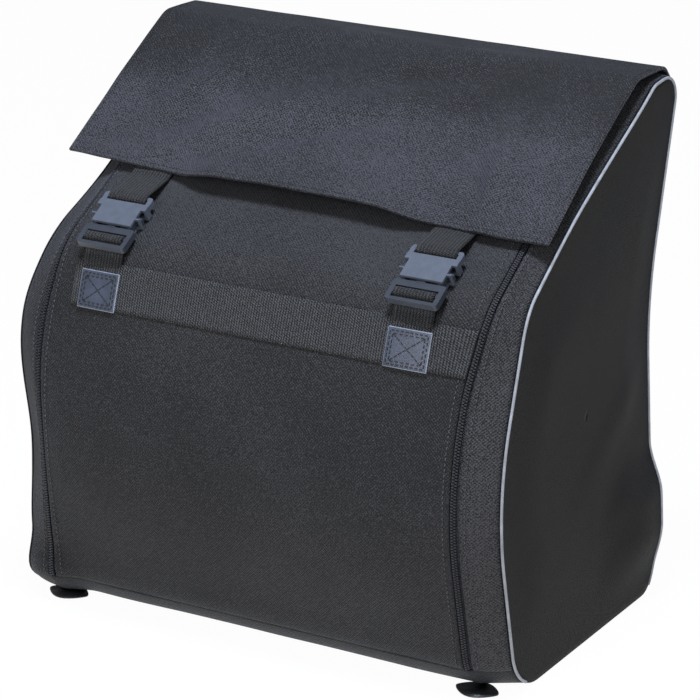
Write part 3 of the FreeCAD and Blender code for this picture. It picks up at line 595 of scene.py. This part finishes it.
def sidePanel(name, side):
    piece = sideCloth(name + "SidePanel", side, paintedShadeSideNylon, (240, 40), caseOutline["halfWidth"], 0.0003,
                      sideLift)
    thicken(piece)
    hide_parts(name + "_side_panel")


pipingSizes = {"radius": 0.0013, "behind": {"left": 0.0042, "right": 0.0010}, "endsUp": 0.005}


def piping(name, side):
    x = side * caseOutline["halfWidth"]
    start = whereAt(lambda y, z: y < 0 and z >= pipingSizes["endsUp"])
    end = whereAt(lambda y, z: z <= pipingSizes["endsUp"], backTopAt)
    points = []
    for s in np.arange(start, end, 0.004):
        y, z = spotOn(outline, s, -pipingSizes["behind"][name])
        points.append(settle(x, y + recess(x, s), z))
    piece = tubeAlong(name + "Piping", points, pipingSizes["radius"], pipingCloth, "shell")
    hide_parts(name + "_piping")


bodyShell()
for sideName, sideSign in sides.items():
    sidePanel(sideName, sideSign)
    piping(sideName, sideSign)

print("sides and piping made")

zipSizes = {"pitch": 0.0026, "toothWidth": 0.0022, "toothLength": 0.0013, "rise": 0.0004,
            "depth": 0.0022, "tape": 0.018, "tapeGap": 0.0001, "tapeDown": 0.0021,
            "tapeThick": 0.0011, "foldRoom": 0.006}


def teeth(name, node, side, half, body):
    bm = bmesh.new()
    reach = zipSizes["toothWidth"]
    middle = side * caseOutline["zipOut"] + half * reach / 2
    first, last = floorFront + 0.002, doorTopAt - 0.001
    steps = int((last - first) / zipSizes["pitch"])
    for k in range(steps):
        s = first + (k + (0.5 if half > 0 else 0.0)) * zipSizes["pitch"]
        spot = shellSpot(middle, s, zipSizes["rise"] - zipSizes["depth"] / 2)
        angle = float(np.interp(s, outline["along"], outline["angle"]))
        place = (Matrix.Translation(spot) @ Matrix.Rotation(angle, 4, "X")
                 @ Matrix.Diagonal((reach, zipSizes["toothLength"], zipSizes["depth"], 1)))
        bmesh.ops.create_cube(bm, size=1, matrix=place)
    piece = finished(name, bm, coil, body, False)
    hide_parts(node)


def zips():
    for name, side in sides.items():
        line = side * caseOutline["zipOut"]
        for half, body, word in ((side, "shell", "fixed"), (-side, "front", "panel")):
            near, far = sorted((line + half * zipSizes["tapeGap"], line + half * zipSizes["tape"]))
            title = f"{name}{word.capitalize()}Zip"
            # the panel's tape leaves room for the fold at the panel's foot
            start = floorFront + (zipSizes["foldRoom"] if body == "front" else 0.0)
            clothPiece(title + "Tape", f"{name}_{word}_zip_tape", body, edgeTape,
                       (near, far), (start, doorTopAt), (6, 200),
                       lambda x, s: -zipSizes["tapeDown"], zipSizes["tapeThick"])
            teeth(title + "Coil", f"{name}_{word}_zip_coil", side, half, body)
    print("zips made")


zips()

frontSizes = {"half": 0.2042, "bandLow": 0.285, "bandHigh": 0.323, "bandThick": 0.0013,
              "bandLeft": -0.180, "strapOut": 0.152, "strap": 0.038, "patch": 0.040,
              "patchDown": 0.008, "patchUnder": 0.0015, "patchRise": 0.0028, "patchThick": 0.0016,
              "patchEdge": 0.0007, "stitchRise": 0.0029}


def frontCloth():
    size = frontSizes
    half = size["half"]
    clothPiece("frontPanel", "front_panel", "front", frontNylon, (-half, half),
               (floorFront + 0.0005, doorTopAt), (110, 160), frontLift)
    low, high = heightAt(size["bandLow"]), heightAt(size["bandHigh"])
    clothPiece("frontWebbingBand", "front_webbing_band", "front", webbing,
               (size["bandLeft"], half), (low, high), (160, 10),
               lambda x, s: frontLift(x, s) + size["bandThick"], size["bandThick"])
    for name, side in sides.items():
        near = side * size["strapOut"] - size["patch"] / 2
        patch = clothPiece(name + "Patch", name + "_patch", "front", vinyl,
                           (near, near + size["patch"]),
                           (low - size["patchUnder"], high - size["patchDown"]), (12, 12),
                           lambda x, s: frontLift(x, s) + size["patchRise"],
                           size["patchThick"])
        patch.data.materials.append(vinylEdge)
        patch.modifiers["thickness"].material_offset_rim = 1
        rounded = patch.modifiers.new("softEdge", "BEVEL")
        rounded.width = size["patchEdge"]
        rounded.segments = 2
        rounded.material = 1
    return low, high


def placeOn(run, gone, distance):
    # the place and the way out at a distance along a run; gone holds the length up to each point
    last = len(gone) - 2
    i = next((k for k in range(last) if distance <= gone[k + 1]), last)
    t = (distance - gone[i]) / max(gone[i + 1] - gone[i], 1e-9)
    (placeA, upA), (placeB, upB) = run[i], run[i + 1]
    return placeA.lerp(placeB, t), upA.lerp(upB, t)


def stitches(name, runs, material, body, length, gap, thick):
    # short raised stitches along each run; a run is a list of (place, outward) on the surface
    bm = bmesh.new()
    for run in runs:
        gone = [0.0]
        for (a, _), (b, _) in zip(run, run[1:]):
            gone.append(gone[-1] + (b - a).length)
        count = max(1, int(gone[-1] / (length + gap)))
        for k in range(count):
            middle = (k + 0.5) * gone[-1] / count
            a, _ = placeOn(run, gone, middle - length / 2)
            b, _ = placeOn(run, gone, middle + length / 2)
            centre, up = placeOn(run, gone, middle)
            forward = (b - a).normalized()
            up = (up - forward * up.dot(forward)).normalized()
            across = up.cross(forward)
            turn = Matrix((forward, across, up)).transposed().to_4x4()
            place = (Matrix.Translation(centre + up * thick * 0.2) @ turn
                     @ Matrix.Diagonal((length, thick, thick * 0.9, 1)))
            made = bmesh.ops.create_cube(bm, size=1, matrix=place)
            for vert in made["verts"]:
                # the outer face is shorter, so a stitch dips into the cloth at both ends
                if (vert.co - centre).dot(up) > 0:
                    vert.co -= forward * (vert.co - centre).dot(forward) * 0.35
    finished(name, bm, material, body)


def onFront(x, s, off):
    # a place over the front panel's cloth, and which way is out there
    angle = float(np.interp(s, outline["along"], outline["angle"]))
    return shellSpot(x, s, frontLift(x, s) + off), Vector((0, -math.sin(angle), math.cos(angle)))


def frontRun(start, end, parts):
    # a straight run of places over the front, from one (x, s) to another
    (xa, sa), (xb, sb) = start, end
    return [onFront(xa + (xb - xa) * t / parts, sa + (sb - sa) * t / parts, frontSizes["stitchRise"])
            for t in range(parts + 1)]


def patchStitching(low, high):
    half = frontSizes["patch"] / 2
    for name, side in sides.items():
        middle = side * frontSizes["strapOut"]
        runs = []
        for inset in (0.0028, 0.0054):
            x0, x1 = middle - half + inset, middle + half - inset
            s0 = low - frontSizes["patchUnder"] + inset
            s1 = high - frontSizes["patchDown"] - inset
            corners = [(x0, s0), (x1, s0), (x1, s1), (x0, s1), (x0, s0)]
            runs += [frontRun(a, b, 6) for a, b in zip(corners, corners[1:])]
        stitches(name + "PatchStitches", runs, thread, "front", 0.0030, 0.0012, 0.0008)
        # the cross joins the corners of the inner square
        runs = [frontRun(corners[0], corners[2], 8), frontRun(corners[3], corners[1], 8)]
        stitches(name + "PatchCross", runs, thread, "front", 0.0042, 0.0003, 0.0006)


def zipSeams():
    # a row of stitches holds each zip tape under the cloth on either side of the teeth
    for name, side in sides.items():
        for word, body, away, lift in (("Panel", "front", -0.0095, 0.0003),
                                       ("Fixed", "shell", 0.0085, 0.0012)):
            x = side * (caseOutline["zipOut"] + away)
            run = []
            for s in np.arange(floorFront + 0.004, doorTopAt - 0.002, 0.006):
                _, up = onFront(x, s, 0.0)
                run.append((shellSpot(x, s, lift + (frontLift(x, s) if body == "front" else 0.0)), up))
            stitches(name + word + "ZipSeam", [run], greyThread, body, 0.0030, 0.0016, 0.0008)


bandLow, bandHigh = frontCloth()
patchStitching(bandLow, bandHigh)
zipSeams()
print("front panel made")

# thicknesses, the strap's rise off the slope, and the buckle's lengths down the slope and heights off it
strapSizes = {"thick": 0.0014, "loopThick": 0.0012, "rise": 0.0046, "lowerRise": 0.0033}
buckleSizes = {"mouth": 0.014, "stand": 0.0026, "socket": 0.026, "male": 0.024, "slot": 0.006,
               "bar": 0.0034, "barTop": 0.009, "tailTop": 0.011, "softEdge": 0.0005}


def strapPiece(name, node, body, corners, middle, thick):
    route = roundedRoute(corners, step=0.001)
    cells = (10, max(12, int(route["length"] / 0.0025)))
    near = middle - frontSizes["strap"] / 2
    return clothPiece(name, node, body, strapWebbing, (near, near + frontSizes["strap"]),
                      (0, route["length"]), cells, lambda x, s: 0.0, thick, route)


def straps():
    size = buckleSizes
    stand, thick = size["stand"], strapSizes["thick"]
    for name, side in sides.items():
        middle = side * frontSizes["strapOut"]
        level = strapSizes["rise"] + thick / 2
        # the upper strap comes out from under the hem, over the socket's bar and down its slot
        slot = size["mouth"] + size["socket"] + size["slot"] / 2
        end = slot + size["slot"] / 2 + size["bar"]
        over = stand + size["tailTop"] + 0.0018
        strapPiece(name + "UpperStrap", name + "_upper_strap", "flap",
                   [(*slopeSpot(slot, stand + 0.004), 0), (*slopeSpot(slot - 0.0012, over), 0.0024),
                    (*slopeSpot(end + 0.001, over), 0.006), (*slopeSpot(end + 0.031, level), 0.012),
                    (*slopeSpot(0.150, level), 0)],
                   middle, thick)
        low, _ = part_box(name + "_lower_strap")
        slot = size["mouth"] - size["male"] + size["bar"] + size["slot"] / 2
        lower = strapPiece(name + "LowerStrap", name + "_lower_strap", None,
                           [(low.y + 0.0016, low.z - 0.003, 0),
                            (*slopeSpot(slot, strapSizes["lowerRise"]), 0.003),
                            (*slopeSpot(slot, 0.0106), 0)],
                           middle, thick)
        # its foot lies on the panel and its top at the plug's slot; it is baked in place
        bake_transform(lower)
        # its doubled end lies round the plug's middle bar
        bar = slot + size["slot"] / 2 + size["bar"] / 2
        top = stand + size["barTop"] + 0.0016
        strapPiece(name + "StrapLoop", None, name + "_plug",
                   [(*slopeSpot(bar - 0.0062, top - 0.0060), 0),
                    (*slopeSpot(bar - 0.0042, top + 0.0006), 0.003),
                    (*slopeSpot(bar + 0.0024, top + 0.0002), 0.002),
                    (*slopeSpot(bar + 0.0034, top - 0.0060), 0)],
                   middle, strapSizes["loopThick"])


straps()
print("straps made")

# places on the flap are lengths up from its hem
flapSizes = {
    "half": 0.238, "thick": 0.003, "stand": 0.006, "edge": 0.084, "softEdge": 0.0009,
    "crown": (0.138, 0.482), "hinge": (0.1504, 0.4704),
    "full": 0.0055, "ridgeAt": 0.125, "ridgeReach": 0.13, "seam": 0.0042,
    "lift": 0.0040, "liftBetween": 0.0080, "strapReach": 0.075,
    "hemUp": 0.0038, "hemDownBetween": 0.0083, "rightDrop": 0.015, "rightOut": 0.004,
}


def flapRoute():
    middle = flapSizes["thick"] / 2
    ridge = slopeSpot(slopeLength, flapSizes["stand"] + middle)
    edge = slopeSpot(flapSizes["edge"], flapSizes["stand"] + middle)
    crownY, crownZ = flapSizes["crown"]
    return roundedRoute([(*edge, 0), (*ridge, 0.024), (crownY, crownZ + middle, 0.013),
                         (*flapSizes["hinge"], 0)])


def crease(x, s, middle, turn, width, reach):
    # a soft fold: a long low ridge through `middle`, at an angle to the hem
    dx, ds = x - middle[0], s - middle[1]
    along = dx * math.cos(turn) + ds * math.sin(turn)
    across = -dx * math.sin(turn) + ds * math.cos(turn)
    return hump(across / width) * hump(along / reach)


flapFolds = [
    # middle (x, up from the hem), turn, width, reach, height
    ((-0.085, 0.075), 0.62, 0.026, 0.150, 0.0078),
    ((-0.040, 0.055), 0.50, 0.020, 0.130, -0.0044),
    ((0.015, 0.105), 0.42, 0.028, 0.150, 0.0062),
    ((-0.150, 0.110), 0.95, 0.022, 0.090, 0.0050),
    ((0.165, 0.060), 1.75, 0.020, 0.080, 0.0060),
    ((0.125, 0.075), 2.20, 0.024, 0.090, -0.0042),
    ((0.060, 0.170), 0.25, 0.032, 0.160, 0.0042),
    ((-0.195, 0.060), 1.30, 0.020, 0.080, -0.0038),
    ((-0.020, 0.190), -0.20, 0.030, 0.140, 0.0036),
]


def flapSpot(x, s, off=0.0):
    # a place on the flap, out from its middle layer; s runs from the hem up and over the crown
    size = flapSizes
    atStraps = sum(hump((x - side * frontSizes["strapOut"]) / size["strapReach"])
                   for side in sides.values())
    free = eased(1 - s / 0.13)
    still = eased((flapLine["length"] - s) / 0.05)
    between = eased((0.150 - abs(x)) / 0.06)
    ripple = 0.0030 * rumple(x, s, 0.11, 6.1, 2.5) + 0.0010 * rumple(x, s, 0.045, 2.9, 3.0)
    loose = size["lift"] + size["liftBetween"] * between + ripple
    lifted = free * ((1 - atStraps) * loose - atStraps * 0.0006)
    folds = sum(height * crease(x, s, middle, turn, width, reach)
                for middle, turn, width, reach, height in flapFolds)
    folds += 0.0012 * rumple(x, s, 0.09, 8.2, 1.6) + 0.0006 * rumple(x, s, 0.04, 4.6, 1.2)
    # the cloth is fuller over the ridge, most of all at the left
    ends = 0.35 + 0.65 * eased((-x - 0.05) / 0.15) + 0.25 * eased((x - 0.08) / 0.14)
    ends += 0.9 * hump((x - 0.04) / 0.2)
    full = size["full"] * ends * hump((s - size["ridgeAt"]) / size["ridgeReach"])
    out = max(lifted + folds * still + full + 0.0006 * still, -0.0012)
    y, z = spotOn(flapLine, s, out + off)
    # the hem comes lower between the straps and hangs lowest at the right
    near = eased(1 - s / 0.12)
    down = near * (size["hemDownBetween"] * between - size["hemUp"]
                   - 0.0010 * rumple(x, 0, 0.08, 1.1)
                   + size["rightDrop"] * eased((x - 0.02) / 0.22))
    x += near * size["rightOut"] * eased((x - 0.15) / 0.09)
    return Vector((x, y - down * math.cos(slopeAngle), z - down * math.sin(slopeAngle)))


def flapPiece():
    length, half = flapLine["length"], flapSizes["half"]
    bm = clothGrid(flapLine, (-half, half), (0, length), (190, 130), lambda x, s: 0.0)
    cloth = bm.loops.layers.uv["cloth"]
    for vert in bm.verts:
        vert.co = flapSpot(*vert.link_loops[0][cloth].uv)
    piece = finished("topFlap", bm, flapNylon, "flap")
    thicken(piece, flapSizes["thick"], 0.0)
    soft = piece.modifiers.new("softEdge", "BEVEL")
    soft.width = flapSizes["softEdge"]
    soft.segments = 2
    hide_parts("top_flap")


def flapRun(start, end):
    # a straight run of stitches over the flap's outer face, from one (x, s) to another
    (xa, sa), (xb, sb) = start, end
    parts = max(2, int(math.hypot(xb - xa, sb - sa) / 0.005))
    run = []
    for k in range(parts):
        x, s = xa + (xb - xa) * k / parts, sa + (sb - sa) * k / parts
        across = flapSpot(x + 0.002, s) - flapSpot(x - 0.002, s)
        up = flapSpot(x, s + 0.002) - flapSpot(x, s - 0.002)
        run.append((flapSpot(x, s, flapSizes["thick"] / 2), across.cross(up).normalized()))
    return run


def flapStitching():
    inset, top = flapSizes["seam"], flapLine["length"] - 0.03
    half = flapSizes["half"] - inset
    edge = [(-half, top), (-half, inset), (half, inset), (half, top)]
    runs = [flapRun(a, b) for a, b in zip(edge, edge[1:])]
    low, high = 0.006, 0.020
    for side in sides.values():
        # three sides of a box over the strap, and the cross in it
        x0, x1 = side * frontSizes["strapOut"] - 0.018, side * frontSizes["strapOut"] + 0.018
        box = [(x0, low), (x0, high), (x1, high), (x1, low)]
        runs += [flapRun(box[a], box[b]) for a, b in ((0, 1), (1, 2), (2, 3), (0, 2), (1, 3))]
    stitches("flapStitches", runs, thread, "flap", 0.0026, 0.0014, 0.0006)


flapLine = flapRoute()
flapPiece()
flapStitching()
print("flap made")


def dressNodes():
    finishes = {"base_board": board}
    for name in sides:
        finishes[name + "_buckle_socket"] = buckle
        for word in ("buckle_plug", "buckle_left_prong", "buckle_right_prong", "ladder_lock"):
            finishes[f"{name}_{word}"] = paintedShadeBuckle
    for node, material in finishes.items():
        nodes[node].data.materials.clear()
        nodes[node].data.materials.append(material)
        if material is not board:
            moulded = nodes[node].modifiers.new("mouldedEdge", "BEVEL")
            moulded.width = buckleSizes["softEdge"]
            moulded.segments = 2
            moulded.limit_method = "ANGLE"


def settledZipParts():
    # the sliders and pulls move with the zips they sit on
    for name in sides:
        low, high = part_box(name + "_zip_slider")
        middle = (Vector(low) + Vector(high)) / 2
        moved = settle(*middle) - middle
        for word in ("slider", "pull"):
            bm = bmesh.new()
            bm.from_mesh(nodes[f"{name}_zip_{word}"].data)
            bmesh.ops.translate(bm, verts=bm.verts, vec=moved)
            piece = finished(f"{name}Zip{word.capitalize()}", bm, zipMetal, f"{name}_{word}", False)
            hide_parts(f"{name}_zip_{word}")


dressNodes()
settledZipParts()
print("buckles, base board and sliders dressed")

leafSizes = {"halfLength": 0.020, "halfWidth": 0.0155, "tips": 0.55, "middleY": -0.136,
             "offFloor": 0.0003, "thick": 0.0010}


def leafTab(name, side):
    bm = bmesh.new()
    bmesh.ops.create_circle(bm, cap_ends=True, segments=28, radius=0.5)
    size = leafSizes
    for vert in bm.verts:
        u, v = vert.co.x * 2, vert.co.y * 2
        pinch = size["tips"] + (1 - size["tips"]) * (1 - u * u)
        vert.co = Vector((side * caseOutline["zipOut"] + u * size["halfLength"],
                          size["middleY"] + v * size["halfWidth"] * pinch, size["offFloor"]))
    made = bmesh.ops.extrude_face_region(bm, geom=bm.faces[:])
    for item in made["geom"]:
        if isinstance(item, bmesh.types.BMVert):
            item.co.z += size["thick"]
    bmesh.ops.recalc_face_normals(bm, faces=bm.faces)
    piece = finished(name + "LeafTab", bm, leafVinyl, "shell")
    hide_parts(name + "_zip_end_tab")


for sideName, sideSign in sides.items():
    leafTab(sideName, sideSign)

liningSizes = {"thick": 0.0055, "behind": 0.0024, "backHalf": 0.234, "backTop": 0.430,
               "backFoot": 0.024, "frontHalf": 0.190, "frontFoot": 0.032, "frontTopGap": 0.008,
               "sideOut": 0.2395, "sideInset": 0.0032}


def inside():
    size = liningSizes
    for title, node, body, half, along in (
            ("backLining", "back_padding", "shell", size["backHalf"],
             (backAt(size["backTop"]), backAt(size["backFoot"]))),
            ("frontLining", "front_padding", "front", size["frontHalf"],
             (heightAt(size["frontFoot"]), doorTopAt - size["frontTopGap"]))):
        piece = clothPiece(title, node, body, lining, (-half, half), along, (60, 60),
                           lambda x, s: -size["behind"], size["thick"])
    for name, side in sides.items():
        piece = sideCloth(name + "SideLining", side, lining, (160, 16), size["sideOut"],
                          size["sideInset"], lambda spot, share, hand: 0.0)
        thicken(piece, size["thick"])
        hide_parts(name + "_side_padding")


inside()
print("lining made")

# heights are those of the edges of each piece sewn to the back
backSizes = {"bindingHalf": 0.238, "bindingTop": 0.465, "bindingFoot": 0.4431, "yokeHalf": 0.108,
             "yokeTop": 0.440, "yokeFoot": 0.380, "anchorNear": 0.178, "anchorFar": 0.234,
             "anchorTop": 0.066, "anchorFoot": 0.026, "sewnThick": 0.0022, "sewnRise": 0.0023}


def backPieces():
    size = backSizes
    bindingTopAt = whereAt(lambda y, z: z <= size["bindingTop"], ridgeAt)
    clothPiece("flapSeamBinding", "flap_seam_binding", "shell", edgeTape,
               (-size["bindingHalf"], size["bindingHalf"]), (bindingTopAt, backAt(size["bindingFoot"])),
               (80, 8), lambda x, s: 0.0015, 0.0014)
    clothPiece("strapYoke", "strap_yoke", "shell", nylon,
               (-size["yokeHalf"], size["yokeHalf"]), (backAt(size["yokeTop"]), backAt(size["yokeFoot"])),
               (50, 14), lambda x, s: size["sewnRise"] + 0.0004 * rumple(x, s, 0.04, 1.2),
               size["sewnThick"])
    for name, side in sides.items():
        near, far = sorted((side * size["anchorNear"], side * size["anchorFar"]))
        clothPiece(name + "StrapAnchor", name + "_strap_anchor", "shell", webbing,
                   (near, far), (backAt(size["anchorTop"]), backAt(size["anchorFoot"])), (14, 10),
                   lambda x, s: size["sewnRise"], size["sewnThick"])


backPieces()

strapBow = {"height": 0.135, "reach": 0.060, "out": 0.011}


def softCopy(name, node, body, material, voxel, rounds):
    # a cushion-like copy of a padded solid: remeshed, then eased
    bm = bmesh.new()
    bm.from_mesh(nodes[node].data)
    bmesh.ops.remove_doubles(bm, verts=bm.verts, dist=0.00002)
    piece = finished(name, bm, material, body)
    remesh = piece.modifiers.new("even", "REMESH")
    remesh.mode = "VOXEL"
    remesh.voxel_size = voxel
    smooth = piece.modifiers.new("ease", "SMOOTH")
    smooth.iterations = rounds
    evaluated = piece.evaluated_get(bpy.context.evaluated_depsgraph_get())
    mesh = bpy.data.meshes.new_from_object(evaluated)
    piece.modifiers.clear()
    piece.data = mesh
    cloth = mesh.uv_layers.new(name="cloth")
    for polygon in mesh.polygons:
        polygon.use_smooth = True
        for loop in polygon.loop_indices:
            spot = mesh.vertices[mesh.loops[loop].vertex_index].co
            cloth.data[loop].uv = (spot.x, spot.z)
    mesh.materials.clear()
    mesh.materials.append(material)
    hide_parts(node)
    return piece


for sideName, sideSign in sides.items():
    pad = softCopy(sideName + "ShoulderStrap", sideName + "_shoulder_strap", "shell", nylon,
                   0.004, 6)
    for vertex in pad.data.vertices:
        # slack near its lower end lets the strap bow outwards
        bow = strapBow["out"] * hump((vertex.co.z - strapBow["height"]) / strapBow["reach"])
        vertex.co += Vector((sideSign, 1, 0)) * bow
    softCopy(sideName + "AdjusterWebbing", sideName + "_adjuster_webbing", "shell", webbing,
             0.0008, 1)
softCopy("grabLoop", "grab_loop", "shell", webbing, 0.0016, 2)
print("back made")

studio = {
    "floor": 6, "floorDown": 0.0004, "floorGlow": 0.97, "world": 0.23, "aim": (0, 0, 0.25),
    "lamps": {
        # place, power, size and colour
        "keyLight": ((0.0, -2.6, 1.4), 25, 1.2, (1.0, 0.99, 0.98)),
        "fillLight": ((2.2, -1.6, 1.2), 7, 1.4, (0.90, 0.94, 1.0)),
        "topLight": ((0.3, -0.55, 2.4), 62, 0.5, (0.80, 0.87, 1.0)),
    },
}


def stageAndLight():
    floorMaterial, tree, shader = newMaterial("paleFloor", (0.86, 0.86, 0.86), 0.9)
    bm = bmesh.new()
    bmesh.ops.create_grid(bm, x_segments=1, y_segments=1, size=studio["floor"])
    bmesh.ops.translate(bm, verts=bm.verts, vec=(0, 0, -studio["floorDown"]))
    mesh = bpy.data.meshes.new("floor")
    bm.to_mesh(mesh)
    bm.free()
    floor = placed("floor", mesh)
    output = tree.nodes["Material Output"]
    glow = add(tree, "ShaderNodeEmission", Strength=1.0)
    glow.inputs["Color"].default_value = (1, 1, 1, 1)
    mix = add(tree, "ShaderNodeMixShader")
    mix.inputs["Fac"].default_value = studio["floorGlow"]
    tree.links.new(shader.outputs["BSDF"], mix.inputs[1])
    tree.links.new(glow.outputs["Emission"], mix.inputs[2])
    tree.links.new(mix.outputs["Shader"], output.inputs["Surface"])
    mesh.materials.append(floorMaterial)

    world = bpy.data.worlds.new("studio")
    bpy.context.scene.world = world
    world.use_nodes = True
    tree = world.node_tree
    back = tree.nodes["Background"]
    back.inputs["Color"].default_value = (0.93, 0.96, 1.0, 1)
    back.inputs["Strength"].default_value = studio["world"]
    white = add(tree, "ShaderNodeBackground", Strength=1.0)
    white.inputs["Color"].default_value = (1, 1, 1, 1)
    seen = add(tree, "ShaderNodeLightPath")
    mix = add(tree, "ShaderNodeMixShader")
    tree.links.new(seen.outputs["Is Camera Ray"], mix.inputs[0])
    tree.links.new(back.outputs["Background"], mix.inputs[1])
    tree.links.new(white.outputs["Background"], mix.inputs[2])
    tree.links.new(mix.outputs["Shader"], tree.nodes["World Output"].inputs["Surface"])
    for label, (place, power, size, colour) in studio["lamps"].items():
        lamp = bpy.data.lights.new(label, "AREA")
        lamp.energy = power
        lamp.size = size
        lamp.color = colour
        holder = placed(label, lamp)
        holder.location = place
        towards = Vector(studio["aim"]) - Vector(place)
        holder.rotation_euler = towards.to_track_quat("-Z", "Y").to_euler()


view = {"azimuth": 30.1, "elevation": 19.2, "distance": 3.085, "target": (0, 0, 0.240),
        "lens": 180.0, "shift": (0.0074, -0.0207)}


def cameraAt():
    a, e = math.radians(view["azimuth"]), math.radians(view["elevation"])
    back = Vector((math.sin(a) * math.cos(e), -math.cos(a) * math.cos(e), math.sin(e)))
    lens = bpy.data.cameras.new("camera")
    lens.lens = view["lens"]
    lens.sensor_width = 36
    lens.shift_x, lens.shift_y = view["shift"]
    lens.clip_end = 50
    camera = placed("camera", lens)
    camera.location = Vector(view["target"]) + back * view["distance"]
    camera.rotation_euler = (-back).to_track_quat("-Z", "Y").to_euler()
    bpy.context.scene.camera = camera


stageAndLight()
cameraAt()
bpy.context.scene.view_settings.view_transform = "Standard"
print("stage, lights and camera set")
